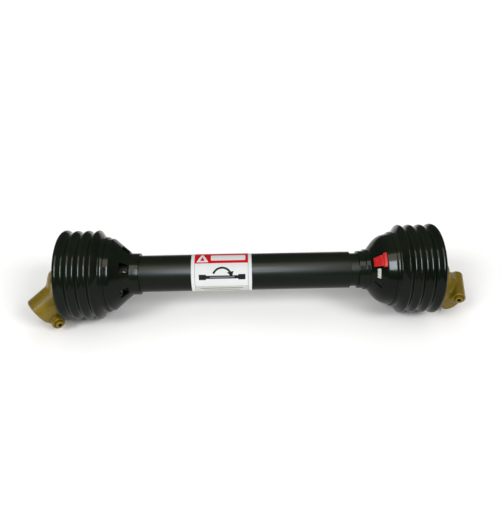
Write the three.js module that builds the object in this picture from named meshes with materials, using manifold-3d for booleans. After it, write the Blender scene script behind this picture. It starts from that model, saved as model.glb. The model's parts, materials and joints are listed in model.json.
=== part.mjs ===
// Agricultural universal joint shaft with plastic guards: two splined quick-release yokes, two
// cross joints, telescoping three-lobed profile tubes, and a telescoping guard with two bells.
//
// Millimetres, +Z up. The shaft lies along X on its two bells, and the origin is the centre of
// the whole object's footprint. Inside each end, s is the distance from the joint's centre
// towards the middle of the shaft, so an outline is a list of [s, radius] pairs.

import * as THREE from 'three';
import { mergeVertices } from 'three/addons/utils/BufferGeometryUtils.js';
import Module from 'manifold-3d';

const wasm = await Module();
wasm.setup();

// ---- driving dimensions ------------------------------------------------------------------

const JOINT_HALF_SPAN = 317;      // middle of the shaft to a joint's centre
const GAP = 0.3;                  // clearance between pieces that touch
const FRONT = 55;                 // the front leans this far from upright towards -Y, degrees

const ROUND = 32;                 // facets round the guards
const HUB_ROUND = 24;             // facets round the hubs and sleeves
const SMALL_ROUND = 16;           // facets round the cups, bosses and pins
const FINE_ROUND = 12;            // facets round the smallest pieces

// cross joint: 27 mm cups, 74.6 mm over the cups
const CUP_RADIUS = 13.5;
const CUP_REACH = 37.3;           // joint's centre to a cup's closed face
const CUP_MOUTH = 22.5;
const CUP_FLOOR = 2;
const JOURNAL_RADIUS = 8.6;
const JOURNAL_PLAY = 0.4;
const CIRCLIP = { from: 37.7, to: 39.1, outer: 14.5, inner: 11.4, gapAngle: 60 };

// forks
const EAR_INNER = 27.5;           // joint's centre to an ear's inner face
const EAR_OUTER = 41;
const EAR_RADIUS = 20.5;
const THROAT_DEPTH = 46;
const SHOULDER_AT = 49;           // where the fork starts to narrow to the hub
const NECK_AT = 60;
const HUB_RADIUS = 28.5;

// quick-release pin across each hub
const BOSS_RADIUS = 12.5;
const BOSS_HALF = 34;
const PIN_OFFSET = 24;            // pin's axis to hub's axis
const PIN_RADIUS = 8;
const PIN_END = -12;              // inner end of the pin, where the spring starts
const PIN_LIP = 30;               // where the bore narrows to hold the pin in
const PIN_WAIST = { from: 5.8, to: 17.5, radius: 4.8 };
const PIN_CAP = { from: -32, to: -29, holeRadius: 2.2 };
const BUTTON = { radius: 7, reach: 39, dimple: 2.3 };

// 1 3/8 inch six-spline bore
const SPLINE = { count: 6, major: 17.45, minor: 14.9, toothHalf: 4.2 };

// outer yokes: bend about the inner trunnions, bend about the outer ones, and the forging
const OUTER_YOKES = {
  left: { side: -1, bend: 42, lean: -8, hubEnd: 103, pinAt: 88, pinPhase: 38 },
  right: { side: 1, bend: 37.5, lean: 14.5, hubEnd: 100, pinAt: 84, pinPhase: 130 },
};

// inner yokes and profile tubes
const SLEEVE_RADIUS = 30.5;
const SLEEVE_END = 94;
const SOCKET_FROM = 60;
const GROOVE = { from: 66, to: 74, radius: 27.8 };
const ROLL_PIN = { at: 86, radius: 5, wall: 1.8, half: 29 };
const OUTER_PROFILE = { flat: 18.67, corner: 12.5, wall: 3.4 };
const INNER_PROFILE = { flat: 14.95, corner: 8.8, wall: 4.5 };
const PROFILE_FROM = 62;          // s of a profile tube's end inside its sleeve
const OUTER_PROFILE_END = 170;    // X of the free end
const INNER_PROFILE_END = -170;

// guards
const OUTER_GUARD = { radius: 34.2, wall: 2.8, end: 186 };
const INNER_GUARD = { radius: 31, wall: 2.2, end: -150 };
const GUARD_TUBE_FROM = 98.3;
const BELL_WALL = 2.6;
const BELL = { lipAt: -27.5, lipRadius: 82, crest: 83, valley: 78, pitch: 20, start: -22.7, mouthCrest: 84.8 };
const CUP_BARREL = 67.4;
const WINDOW = { count: 6, above: 14, from: 81, to: 94.5, wide: 10, narrow: 7, corner: 2.5 };
const KEY_SLOT = { from: 81.5, to: 88, low: -21, high: 24 };
const KEY = { low: 4, high: 25, stemLow: 12, stemHigh: 22 };
const RING_TAB = { from: 82.2, to: 87.3, low: -19, high: 1 };
const LABEL = { from: -108.2, to: 2.6, half: 88, thickness: 0.4 };

// ---- colours -----------------------------------------------------------------------------

const FINISHES = {
  guard: { color: 0x1a1c17, roughness: 0.35, metalness: 0 },
  yoke: { color: 0xa08a1e, roughness: 0.45, metalness: 0 },
  steel: { color: 0x8d9093, roughness: 0.35, metalness: 1 },
  tube: { color: 0x55585a, roughness: 0.5, metalness: 1 },
  nylon: { color: 0xe6e6dd, roughness: 0.5, metalness: 0 },
  key: { color: 0xd82c2c, roughness: 0.4, metalness: 0 },
  label: { color: 0xf2f2f2, roughness: 0.4, metalness: 0 },
};

// ---- solids ------------------------------------------------------------------------------

function toSolid(geometry) {
  geometry.deleteAttribute('normal');
  geometry.deleteAttribute('uv');
  const merged = mergeVertices(geometry, 1e-4);
  const index = merged.index.array;
  const triangles = [];
  for (let i = 0; i < index.length; i += 3) {
    const [a, b, c] = [index[i], index[i + 1], index[i + 2]];
    if (a !== b && b !== c && c !== a) triangles.push(a, b, c);
  }
  return new wasm.Manifold(new wasm.Mesh({
    numProp: 3,
    vertProperties: Float32Array.from(merged.attributes.position.array),
    triVerts: Uint32Array.from(triangles),
  }));
}

function toGeometry(solid) {
  const mesh = solid.getMesh();
  const geometry = new THREE.BufferGeometry();
  geometry.setAttribute('position', new THREE.BufferAttribute(mesh.vertProperties, 3));
  geometry.setIndex(new THREE.BufferAttribute(mesh.triVerts, 1));
  geometry.computeVertexNormals();
  return geometry;
}

// An outline of [along, radius] pairs turned about X, a facet facing straight down.
function turned(outline, facets) {
  const points = outline.map(([along, radius]) => new THREE.Vector2(radius, along));
  const open = points[0].x === 0 && points.at(-1).x === 0;
  if (THREE.ShapeUtils.area(points) < 0) points.reverse();
  if (!open) points.push(points[0].clone());
  const geometry = new THREE.LatheGeometry(points, facets, Math.PI / facets);
  return toSolid(geometry.rotateZ(-Math.PI / 2));
}

const rod = (from, to, radius, facets) => (
  turned([[from, 0], [from, radius], [to, radius], [to, 0]], facets)
);

const ring = (from, to, inner, outer, facets) => (
  turned([[from, inner], [from, outer], [to, outer], [to, inner]], facets)
);

// A flat shape in XY with its thickness from low to high along Z.
function plate(shape, low, high, curveSegments = 6) {
  const options = { depth: high - low, bevelEnabled: false, curveSegments };
  return toSolid(new THREE.ExtrudeGeometry(shape, options).translate(0, 0, low));
}

// A flat shape in YZ with its length from low to high along X.
function beam(shape, low, high, curveSegments = 3) {
  const options = { depth: high - low, bevelEnabled: false, curveSegments };
  const geometry = new THREE.ExtrudeGeometry(shape, options).translate(0, 0, low);
  const turn = new THREE.Matrix4().set(0, 0, 1, 0, 1, 0, 0, 0, 0, 1, 0, 0, 0, 0, 0, 1);
  return toSolid(geometry.applyMatrix4(turn));
}

const moved = (solid, x, y, z) => solid.translate([x, y, z]);
const rotated = (solid, x, y, z) => solid.rotate([x, y, z]);
const joined = (solids) => solids.reduce((sum, solid) => sum.add(solid));

// A pie slice about X between two angles, measured up from +Z towards +Y.
function wedge(from, to, low, high, reach) {
  const shape = new THREE.Shape();
  const steps = 4;
  shape.moveTo(0, 0);
  for (let i = 0; i <= steps; i += 1) {
    const angle = THREE.MathUtils.degToRad(from + (to - from) * i / steps);
    shape.lineTo(reach * Math.sin(angle), reach * Math.cos(angle));
  }
  shape.closePath();
  return beam(shape, low, high);
}

// ---- cross joint -------------------------------------------------------------------------

// Points along Y: outlines are turned about X first, then stood up.
const alongY = (solid) => rotated(solid, 0, 0, 90);
const alongZ = (solid) => rotated(solid, 0, -90, 0);

function crossBody() {
  const journal = CUP_REACH - CUP_FLOOR - JOURNAL_PLAY;
  const shoulder = CUP_MOUTH - 2 * GAP;
  const arm = turned([
    [-journal, 0], [-journal, JOURNAL_RADIUS], [-shoulder, JOURNAL_RADIUS],
    [-shoulder, 11.5], [0, 13], [shoulder, 11.5],
    [shoulder, JOURNAL_RADIUS], [journal, JOURNAL_RADIUS], [journal, 0],
  ], FINE_ROUND);
  const nippleHole = rotated(alongY(rod(8, 26, 3.1, 8)), 45, 0, 0);
  return alongY(arm).add(alongZ(arm)).subtract(nippleHole);
}

function greaseNipple() {
  const outline = [
    [12, 0], [12, 2.6], [21.5, 2.6], [21.5, 4], [24, 4], [24.5, 2.4], [27, 2.4], [28, 3],
    [29, 2], [29, 0],
  ];
  return rotated(alongY(turned(outline, 8)), 45, 0, 0);
}

function bearingCup() {
  const bore = JOURNAL_RADIUS + JOURNAL_PLAY;
  const floor = CUP_REACH - CUP_FLOOR;
  return turned([
    [floor, 0], [floor, bore], [CUP_MOUTH, bore],
    [CUP_MOUTH, CUP_RADIUS], [CUP_REACH, CUP_RADIUS], [CUP_REACH, 0],
  ], SMALL_ROUND);
}

function circlip() {
  const { from, to, outer, inner, gapAngle } = CIRCLIP;
  const whole = ring(from, to, inner, outer, SMALL_ROUND);
  return whole.subtract(wedge(-gapAngle / 2, gapAngle / 2, from - 1, to + 1, outer + 2));
}

// What is cut out of both ears of a fork for the cups and their circlips, along Y.
function earBore() {
  const bore = CUP_RADIUS + GAP;
  const groove = CIRCLIP.outer + GAP;
  const [near, far] = [CIRCLIP.from - GAP, CIRCLIP.to + GAP];
  const end = EAR_OUTER + 1;
  return alongY(turned([
    [-end, 0], [-end, bore], [-far, bore], [-far, groove], [-near, groove], [-near, bore],
    [near, bore], [near, groove], [far, groove], [far, bore], [end, bore], [end, 0],
  ], SMALL_ROUND));
}

// ---- yokes: hub along +X, ears along Y ---------------------------------------------------

function fork() {
  const front = new THREE.Shape();
  front.moveTo(-EAR_RADIUS, EAR_INNER);
  front.lineTo(-EAR_RADIUS, EAR_OUTER - 3);
  front.lineTo(-EAR_RADIUS + 5, EAR_OUTER);
  front.lineTo(SHOULDER_AT - 6, EAR_OUTER);
  front.quadraticCurveTo(SHOULDER_AT, EAR_OUTER, SHOULDER_AT + 3, EAR_OUTER - 5);
  front.quadraticCurveTo(SHOULDER_AT + 7, HUB_RADIUS, NECK_AT + 4, HUB_RADIUS);
  front.lineTo(NECK_AT + 4, -HUB_RADIUS);
  front.quadraticCurveTo(SHOULDER_AT + 7, -HUB_RADIUS, SHOULDER_AT + 3, -EAR_OUTER + 5);
  front.quadraticCurveTo(SHOULDER_AT, -EAR_OUTER, SHOULDER_AT - 6, -EAR_OUTER);
  front.lineTo(-EAR_RADIUS + 5, -EAR_OUTER);
  front.lineTo(-EAR_RADIUS, -EAR_OUTER + 3);
  front.lineTo(-EAR_RADIUS, -EAR_INNER);
  front.lineTo(THROAT_DEPTH - 8, -EAR_INNER);
  front.quadraticCurveTo(THROAT_DEPTH, -EAR_INNER, THROAT_DEPTH, -EAR_INNER + 8);
  front.lineTo(THROAT_DEPTH, EAR_INNER - 8);
  front.quadraticCurveTo(THROAT_DEPTH, EAR_INNER, THROAT_DEPTH - 8, EAR_INNER);
  front.closePath();

  const side = new THREE.Shape();
  side.moveTo(NECK_AT + 5, -HUB_RADIUS + 1);
  side.lineTo(NECK_AT + 5, HUB_RADIUS - 1);
  side.quadraticCurveTo(28, HUB_RADIUS - 3, 4, EAR_RADIUS);
  side.lineTo(0, EAR_RADIUS);
  side.absarc(0, 0, EAR_RADIUS, Math.PI / 2, 3 * Math.PI / 2, false);
  side.lineTo(4, -EAR_RADIUS);
  side.quadraticCurveTo(28, -HUB_RADIUS + 3, NECK_AT + 5, -HUB_RADIUS + 1);

  const body = plate(front, -HUB_RADIUS, HUB_RADIUS, 3);
  return body.intersect(rotated(plate(side, -EAR_OUTER - 1, EAR_OUTER + 1, 5), 90, 0, 0));
}

// Hole with six inward teeth, in YZ.
function splineShape() {
  const { count, major, minor, toothHalf } = SPLINE;
  const shape = new THREE.Shape();
  const rootHalf = Math.asin(toothHalf / major);
  const tipHalf = Math.asin(toothHalf / minor);
  for (let i = 0; i < count; i += 1) {
    const tooth = 2 * Math.PI * i / count;
    const next = tooth + 2 * Math.PI / count;
    const corners = [
      [tooth - tipHalf, minor], [tooth + tipHalf, minor],
      [tooth + rootHalf, major], [(tooth + next) / 2, major], [next - rootHalf, major],
    ];
    corners.forEach(([angle, radius], k) => {
      const [y, z] = [radius * Math.cos(angle), radius * Math.sin(angle)];
      if (i === 0 && k === 0) shape.moveTo(y, z);
      else shape.lineTo(y, z);
    });
  }
  shape.closePath();
  return shape;
}

// A solid turned about X is laid along a hub's pin axis.
function onPinAxis(solid, { pinAt, pinPhase }) {
  return moved(rotated(moved(alongY(solid), 0, 0, -PIN_OFFSET), pinPhase, 0, 0), pinAt, 0, 0);
}

function outerYoke(yoke) {
  const { hubEnd } = yoke;
  const chamfer = 2;
  const hub = turned([
    [NECK_AT - 8, 0], [NECK_AT - 8, HUB_RADIUS], [hubEnd - chamfer, HUB_RADIUS],
    [hubEnd, HUB_RADIUS - chamfer], [hubEnd, 0],
  ], HUB_ROUND);
  const boss = turned([
    [-BOSS_HALF, 0], [-BOSS_HALF, BOSS_RADIUS - 2.5], [-BOSS_HALF + 2.5, BOSS_RADIUS],
    [BOSS_HALF - 2.5, BOSS_RADIUS], [BOSS_HALF, BOSS_RADIUS - 2.5], [BOSS_HALF, 0],
  ], SMALL_ROUND);
  const lipBore = BUTTON.radius + GAP;
  const pinBore = PIN_RADIUS + GAP;
  const pinHole = turned([
    [-BOSS_HALF - 1, 0], [-BOSS_HALF - 1, pinBore], [PIN_LIP, pinBore],
    [PIN_LIP, lipBore], [BOSS_HALF + 1, lipBore], [BOSS_HALF + 1, 0],
  ], FINE_ROUND);
  const body = fork().add(hub).add(onPinAxis(boss, yoke));
  return body
    .subtract(beam(splineShape(), THROAT_DEPTH - 6, hubEnd + 1))
    .subtract(onPinAxis(pinHole, yoke))
    .subtract(earBore());
}

function pushPin(yoke) {
  const { from, to, radius: waist } = PIN_WAIST;
  const { radius, reach, dimple } = BUTTON;
  const shoulder = PIN_LIP - GAP;
  return onPinAxis(turned([
    [PIN_END, 0], [PIN_END, PIN_RADIUS], [from - 2, PIN_RADIUS], [from, waist],
    [to, waist], [to + 2, PIN_RADIUS], [shoulder, PIN_RADIUS], [shoulder, radius],
    [reach - 1, radius], [reach, radius - 1], [reach, dimple], [reach - dimple, 0],
  ], FINE_ROUND), yoke);
}

function pinCap(yoke) {
  return onPinAxis(ring(PIN_CAP.from, PIN_CAP.to, PIN_CAP.holeRadius, PIN_RADIUS, FINE_ROUND), yoke);
}

class Helix extends THREE.Curve {
  constructor(radius, from, to, turns) {
    super();
    Object.assign(this, { radius, from, to, turns });
  }

  getPoint(t, target = new THREE.Vector3()) {
    const angle = 2 * Math.PI * this.turns * t;
    const along = this.from + (this.to - this.from) * t;
    return target.set(along, this.radius * Math.cos(angle), this.radius * Math.sin(angle));
  }
}

function pinSpring(yoke) {
  const wire = 0.6;
  const turns = 4;
  const section = new THREE.Shape();
  section.absarc(0, 0, wire, 0, 2 * Math.PI, false);
  const path = new Helix(5.6, PIN_CAP.to + wire + GAP, PIN_END - wire - GAP, turns);
  const options = { steps: turns * 8, curveSegments: 3, extrudePath: path };
  return onPinAxis(toSolid(new THREE.ExtrudeGeometry(section, options)), yoke);
}

// Outline of a three-lobed tube in YZ: three flats joined by round corners, grown by an offset.
function lobeShape({ flat, corner }, offset = 0) {
  const shape = new THREE.Shape();
  const radius = corner + offset;
  const centre = 2 * (flat - corner);
  for (let i = 0; i < 3; i += 1) {
    const angle = 2 * Math.PI * i / 3;
    const [y, z] = [centre * Math.cos(angle), centre * Math.sin(angle)];
    const start = angle - Math.PI / 3;
    if (i === 0) shape.moveTo(y + radius * Math.cos(start), z + radius * Math.sin(start));
    shape.absarc(y, z, radius, start, angle + Math.PI / 3, false);
  }
  shape.closePath();
  return shape;
}

function rollPinHole() {
  return moved(alongY(rod(-40, 40, ROLL_PIN.radius + GAP, FINE_ROUND)), ROLL_PIN.at, 0, 0);
}

function innerYoke(profile) {
  const sleeve = turned([
    [NECK_AT - 8, 0], [NECK_AT - 8, HUB_RADIUS], [NECK_AT, SLEEVE_RADIUS],
    [GROOVE.from, SLEEVE_RADIUS], [GROOVE.from, GROOVE.radius],
    [GROOVE.to, GROOVE.radius], [GROOVE.to, SLEEVE_RADIUS],
    [SLEEVE_END - 2, SLEEVE_RADIUS], [SLEEVE_END, SLEEVE_RADIUS - 2], [SLEEVE_END, 0],
  ], HUB_ROUND);
  return fork().add(sleeve)
    .subtract(beam(lobeShape(profile, GAP), SOCKET_FROM, SLEEVE_END + 1))
    .subtract(rollPinHole())
    .subtract(earBore());
}

function profileTube(profile, length) {
  const whole = beam(lobeShape(profile), PROFILE_FROM, PROFILE_FROM + length);
  const hollow = beam(lobeShape(profile, -profile.wall), PROFILE_FROM - 1, PROFILE_FROM + length + 1);
  return whole.subtract(hollow).subtract(rollPinHole());
}

function rollPin() {
  const { at, radius, wall, half } = ROLL_PIN;
  const tube = ring(-half, half, radius - wall, radius, FINE_ROUND);
  const slit = wedge(-12, 12, -half - 1, half + 1, radius + 1);
  return moved(alongY(tube.subtract(slit)), at, 0, 0);
}

// ---- guards ------------------------------------------------------------------------------

function bell() {
  const { lipAt, lipRadius, crest, valley, pitch, start, mouthCrest } = BELL;
  const neck = CUP_BARREL + 3;
  const neckEnd = CUP_BARREL + 2;
  const seat = CUP_BARREL + 0.5;
  const waves = [];
  for (let i = 1; i < 7; i += 1) {
    waves.push([start + i * pitch / 2, i % 2 ? valley : crest]);
  }
  return turned([
    [lipAt, lipRadius], [start, mouthCrest], ...waves, [47.5, neck], [56, neckEnd],
    [56, seat], [46.5, seat], [41, valley - BELL_WALL],
    [start, valley - BELL_WALL], [lipAt, lipRadius - BELL_WALL],
  ], ROUND);
}

function baseCupLeft() {
  const collar = 38.7;
  const tubeSeat = OUTER_GUARD.radius + GAP + 0.1;
  const body = turned([
    [45, CUP_BARREL], [63, CUP_BARREL], [97, collar], [113, collar], [113, tubeSeat],
    [98, tubeSeat], [98, 31.6], [95, 31.6], [95, 36.2], [61.8, 64.4], [45, 64.4],
  ], ROUND);
  const { count, above, from, to, wide, narrow, corner } = WINDOW;
  const opening = new THREE.Shape();
  opening.moveTo(from, -wide + corner);
  opening.lineTo(from, wide - corner);
  opening.lineTo(from + corner, wide);
  opening.lineTo(to - corner, narrow);
  opening.lineTo(to, narrow - corner);
  opening.lineTo(to, -narrow + corner);
  opening.lineTo(to - corner, -narrow);
  opening.lineTo(from + corner, -wide);
  opening.closePath();
  const openings = [];
  for (let i = 0; i < count; i += 1) {
    openings.push(rotated(plate(opening, 30, 75), FRONT - above - i * 360 / count, 0, 0));
  }
  return body.subtract(joined(openings));
}

function baseCupRight() {
  const tubeSeat = INNER_GUARD.radius + GAP + 0.1;
  const body = turned([
    [45, 67.6], [57.5, 67.4], [72, 62.6], [86, 49.6], [95.5, 39.5], [95.5, 38], [104, 38],
    [104, 35.2], [116, 35.2], [116, tubeSeat], [98, tubeSeat], [98, 31], [95, 31], [95, 36],
    [84, 47.2], [70, 59.6], [56.5, 64.4], [45, 64.6],
  ], ROUND);
  const { from, to, low, high } = KEY_SLOT;
  const slot = ring(from, to, 32, 72, ROUND)
    .intersect(wedge(FRONT - high, FRONT - low, from - 1, to + 1, 80));
  return body.subtract(slot);
}

function bearingRingLeft() {
  const inner = GROOVE.radius + 0.5;
  const [from, to] = [GROOVE.from + GAP, GROOVE.to - GAP];
  return turned([
    [from, inner], [from, 56], [from + 2.5, 56], [from + 2.5, 39], [to, 36], [to, inner],
  ], ROUND);
}

// Its tab reaches out through the slot in the right cup, beside the key's stem.
function bearingRingRight() {
  const inner = GROOVE.radius + 0.5;
  const [start, end] = [GROOVE.from + GAP, GROOVE.to - GAP];
  const body = turned([
    [start, inner], [start, 55], [start + 3, 55], [start + 3, 46], [end, 44], [end, inner],
  ], ROUND);
  const { from, to, low, high } = RING_TAB;
  const tab = turned([
    [end - 2, 33], [end - 2, 38], [from, 38], [from, 53.3], [to, 48.4], [to, 33],
  ], ROUND).intersect(wedge(FRONT - high, FRONT - low, end - 3, to + 1, 90));
  return body.add(tab);
}

// The key rides on the right cup, and its stem reaches through the slot.
function lockKey() {
  const { low, high, stemLow, stemHigh } = KEY;
  const [from, to] = [KEY_SLOT.from + GAP, KEY_SLOT.to - GAP];
  const rider = turned([
    [91.9, 44], [86.2, 50.2], [73.2, 62.3], [73.2, 67.6], [78.6, 66.8], [78.8, 62.6],
    [88.4, 53.7], [93.4, 48],
  ], ROUND).intersect(wedge(FRONT - high, FRONT - low, 60, 95, 90));
  const stem = turned([[from, 39], [from, 56], [to, 50], [to, 39]], ROUND)
    .intersect(wedge(FRONT - stemHigh, FRONT - stemLow, 60, 95, 90));
  return rider.add(stem);
}

const guardTube = ({ radius, wall }, length) => (
  ring(GUARD_TUBE_FROM, GUARD_TUBE_FROM + length, radius - wall, radius, ROUND)
);

function safetyLabel() {
  const inner = OUTER_GUARD.radius + GAP;
  const band = ring(LABEL.from, LABEL.to, inner, inner + LABEL.thickness, ROUND);
  return band.intersect(wedge(-LABEL.half, LABEL.half, LABEL.from - 1, LABEL.to + 1, 60));
}

// ---- assembly ----------------------------------------------------------------------------

function mesh(name, solid, finish) {
  const piece = new THREE.Mesh(toGeometry(solid), new THREE.MeshStandardMaterial(FINISHES[finish]));
  piece.name = name;
  return piece;
}

const degrees = THREE.MathUtils.degToRad;

// A fork's two cups and two circlips, in its two ears.
function bearings(fork_, side) {
  const pieces = [];
  for (const [ear, turn] of [['a', 90], ['b', -90]]) {
    const cup = rotated(bearingCup(), 0, 0, turn);
    const clip = rotated(circlip(), 0, 0, turn);
    pieces.push(mesh(`${fork_}_bearing_cup_${side}_${ear}`, cup, 'steel'));
    pieces.push(mesh(`${fork_}_circlip_${side}_${ear}`, clip, 'steel'));
  }
  return pieces;
}

function outerYokeGroup(side) {
  const yoke = OUTER_YOKES[side];
  const group = new THREE.Group();
  group.rotation.y = degrees(yoke.lean);
  group.add(
    mesh(`outer_yoke_${side}`, outerYoke(yoke), 'yoke'),
    mesh(`push_pin_${side}`, pushPin(yoke), 'steel'),
    mesh(`pin_spring_${side}`, pinSpring(yoke), 'steel'),
    mesh(`pin_cap_${side}`, pinCap(yoke), 'yoke'),
    ...bearings('outer', side),
  );
  return group;
}

function crossGroup(side) {
  const yoke = OUTER_YOKES[side];
  const group = new THREE.Group();
  group.position.x = yoke.side * JOINT_HALF_SPAN;
  group.rotation.z = yoke.side < 0 ? degrees(180 + yoke.bend) : degrees(-yoke.bend);
  group.add(
    mesh(`cross_${side}`, crossBody(), 'steel'),
    mesh(`grease_nipple_${side}`, greaseNipple(), 'steel'),
    outerYokeGroup(side),
  );
  return group;
}

// What turns with one half of the shaft, built with s along +X and the ears along Y.
function innerEndGroup(side) {
  const outer = side === 'left';
  const profile = outer ? OUTER_PROFILE : INNER_PROFILE;
  const reach = outer ? OUTER_PROFILE_END : -INNER_PROFILE_END;
  const tube = profileTube(profile, JOINT_HALF_SPAN + reach - PROFILE_FROM);
  const group = new THREE.Group();
  group.position.x = outer ? -JOINT_HALF_SPAN : JOINT_HALF_SPAN;
  group.rotation.set(Math.PI / 2, 0, outer ? 0 : Math.PI, 'ZYX');
  group.add(
    mesh(`inner_yoke_${side}`, innerYoke(profile), 'yoke'),
    mesh(outer ? 'outer_profile_tube' : 'inner_profile_tube', tube, 'tube'),
    mesh(`roll_pin_${side}`, rollPin(), 'steel'),
    ...bearings('inner', side),
  );
  return group;
}

function guardGroup(side) {
  const outer = side === 'left';
  const guard = outer ? OUTER_GUARD : INNER_GUARD;
  const reach = outer ? OUTER_GUARD.end : -INNER_GUARD.end;
  const tube = guardTube(guard, JOINT_HALF_SPAN + reach - GUARD_TUBE_FROM);
  const group = new THREE.Group();
  group.position.x = outer ? -JOINT_HALF_SPAN : JOINT_HALF_SPAN;
  group.add(
    mesh(outer ? 'outer_guard_tube' : 'inner_guard_tube', tube, 'guard'),
    mesh(`base_cup_${side}`, outer ? baseCupLeft() : baseCupRight(), 'guard'),
    mesh(`bell_${side}`, bell(), 'guard'),
    mesh(`bearing_ring_${side}`, outer ? bearingRingLeft() : bearingRingRight(), 'nylon'),
  );
  if (!outer) {
    group.rotation.z = Math.PI;
    group.add(mesh('lock_key', lockKey(), 'key'));
  }
  return group;
}

const driveline = new THREE.Group();
driveline.rotation.x = degrees(FRONT);
driveline.add(
  innerEndGroup('left'), innerEndGroup('right'), crossGroup('left'), crossGroup('right'),
);

const facingGroup = new THREE.Group();
facingGroup.rotation.x = degrees(FRONT);
facingGroup.add(mesh('safety_label', safetyLabel(), 'label'));

const group = new THREE.Group();
group.add(driveline, facingGroup, guardGroup('left'), guardGroup('right'));

const box = new THREE.Box3().setFromObject(group, true);
const centre = box.getCenter(new THREE.Vector3());
group.position.set(-centre.x, -centre.y, -box.min.z);

export default group;
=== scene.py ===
"""Universal joint shaft with guards: the visible surfaces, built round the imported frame."""

import json
import math

import bmesh
import bpy
from mathutils import Matrix, Vector

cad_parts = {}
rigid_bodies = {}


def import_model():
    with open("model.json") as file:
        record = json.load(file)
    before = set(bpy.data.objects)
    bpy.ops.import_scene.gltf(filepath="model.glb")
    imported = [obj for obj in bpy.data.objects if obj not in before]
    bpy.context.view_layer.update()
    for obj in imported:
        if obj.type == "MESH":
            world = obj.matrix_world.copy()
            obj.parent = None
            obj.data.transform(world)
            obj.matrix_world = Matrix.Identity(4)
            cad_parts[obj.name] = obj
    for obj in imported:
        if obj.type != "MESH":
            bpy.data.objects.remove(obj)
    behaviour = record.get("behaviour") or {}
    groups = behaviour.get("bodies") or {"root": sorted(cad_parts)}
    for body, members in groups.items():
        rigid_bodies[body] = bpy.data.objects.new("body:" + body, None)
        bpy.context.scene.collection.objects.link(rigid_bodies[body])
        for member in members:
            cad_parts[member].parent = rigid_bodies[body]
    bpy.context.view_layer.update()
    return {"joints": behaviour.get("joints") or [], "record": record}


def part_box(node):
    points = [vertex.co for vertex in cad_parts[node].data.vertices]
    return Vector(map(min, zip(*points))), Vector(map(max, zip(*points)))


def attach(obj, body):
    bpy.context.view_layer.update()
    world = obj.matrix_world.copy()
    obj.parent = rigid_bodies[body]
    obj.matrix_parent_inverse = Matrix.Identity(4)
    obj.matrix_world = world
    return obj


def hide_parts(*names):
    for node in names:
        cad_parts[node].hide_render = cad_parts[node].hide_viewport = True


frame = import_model()

# ---- dimensions, in millimetres in each joint's own frame -----------------------------------

MM = 0.001
ROUND = 144                  # facets round the guards
FINE = 64                    # facets round the small turned pieces
SIDES = ("left", "right")
DRIVE = {"left": "outer_driveline", "right": "inner_driveline"}
GUARD = {"left": "outer_guard", "right": "inner_guard"}

HUB_RADIUS = 27.9
HUB_END = {"left": 103, "right": 100}
PIN_AT = {"left": 88, "right": 84}
PIN_PHASE = {"left": 38, "right": 130}
PIN_OFFSET = 24
BOSS_RADIUS = 12
BOSS_HALF = 34
RIM_CHAMFER = 2.6            # at the hub's end
BOSS_CHAMFER = 2.5

# the right yoke's casting fills the room between its boss, hub and fork
SADDLE = [(-34, 0), (-34, 11), (-30, 13.5), (25, 13.5), (30, 8), (30, 0)]
SADDLE_SHIFT = 9
WEB = [(-32, 0), (-32, 12), (-26, 27), (0, 30), (0, 0)]
WEB_CONE = [(48, 0), (48, 33), (60, 34.5), (72, 41), (84, 41), (84, 0)]

EAR_INNER = 27.5
EAR_OUTER = 41
EAR_RADIUS = 20.5
THROAT = 46
CUP_RADIUS = 13.5
CUP_REACH = 37.3
JOURNAL = 8.6
SLEEVE_RADIUS = 30.5
SLEEVE_END = 94
ROLL_PIN_AT = 86
BARE_SHADED_FROM = 83               # beyond this the sleeves are bare steel, coloured near black as painted shade behind the cup's windows
GROOVE_FROM, GROOVE_TO = 66, 74     # bearing ring's groove round an inner yoke
GROOVE_RADIUS = 27.8
RING_PLAY = 0.3

GUARD_TUBES = {"left": (34.2, 2.8), "right": (31, 2.2)}     # outside radius, wall
PROFILES = {"left": (18.67, 12.5, 3.4), "right": (14.95, 8.8, 4.5)}   # flat, corner, wall
TUBE_FROM = 98.3
PROFILE_FROM = 62
BELL_WALL = 2.1
CUP_BARREL = 67.4
LABEL_RADIUS = 34.5

# ---- places ---------------------------------------------------------------------------------

JOINTS = {joint["name"]: joint for joint in frame["joints"]}
MOUNTS = {mount["name"]: mount for mount in frame["record"]["mounts"]}
INWARD = {"left": Vector((1, 0, 0)), "right": Vector((-1, 0, 0))}
HUBS = {"left": "tractor_hub_face", "right": "implement_hub_face"}


def axes(origin, x, y):
    """Place whose X and Y axes lie along x and, as nearly as it can, y."""
    x = Vector(x).normalized()
    z = x.cross(Vector(y)).normalized()
    turn = Matrix((x, z.cross(x), z)).transposed().to_4x4()
    return Matrix.Translation(origin) @ turn


CENTRE, FACE, YOKE, INNER_YOKE, CROSS = {}, {}, {}, {}, {}
for side in SIDES:
    swing = JOINTS[f"cross_{side}_swing"]
    centre = Vector(swing["pos_m"])
    front = Vector(swing["axis"])
    ears = Vector(JOINTS[f"yoke_{side}_swing"]["axis"])
    CENTRE[side] = centre
    FACE[side] = axes(centre, INWARD[side], front.cross(INWARD[side]))
    YOKE[side] = axes(centre, MOUNTS[HUBS[side]]["axis"], ears)
    INNER_YOKE[side] = axes(centre, INWARD[side], front)
    CROSS[side] = axes(centre, ears.cross(front), ears)
FRONT = Vector(JOINTS["cross_left_swing"]["axis"]).normalized()
UP = {"left": 1, "right": -1}          # sign of an upward angle in each end's own frame


def quarter(axis, turns=1):
    return Matrix.Rotation(turns * math.pi / 2, 4, axis)


ALONG_Y = quarter("Z")
SWAP_TO_X = Matrix(((0, 0, 1, 0), (1, 0, 0, 0), (0, 1, 0, 0), (0, 0, 0, 1)))


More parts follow.
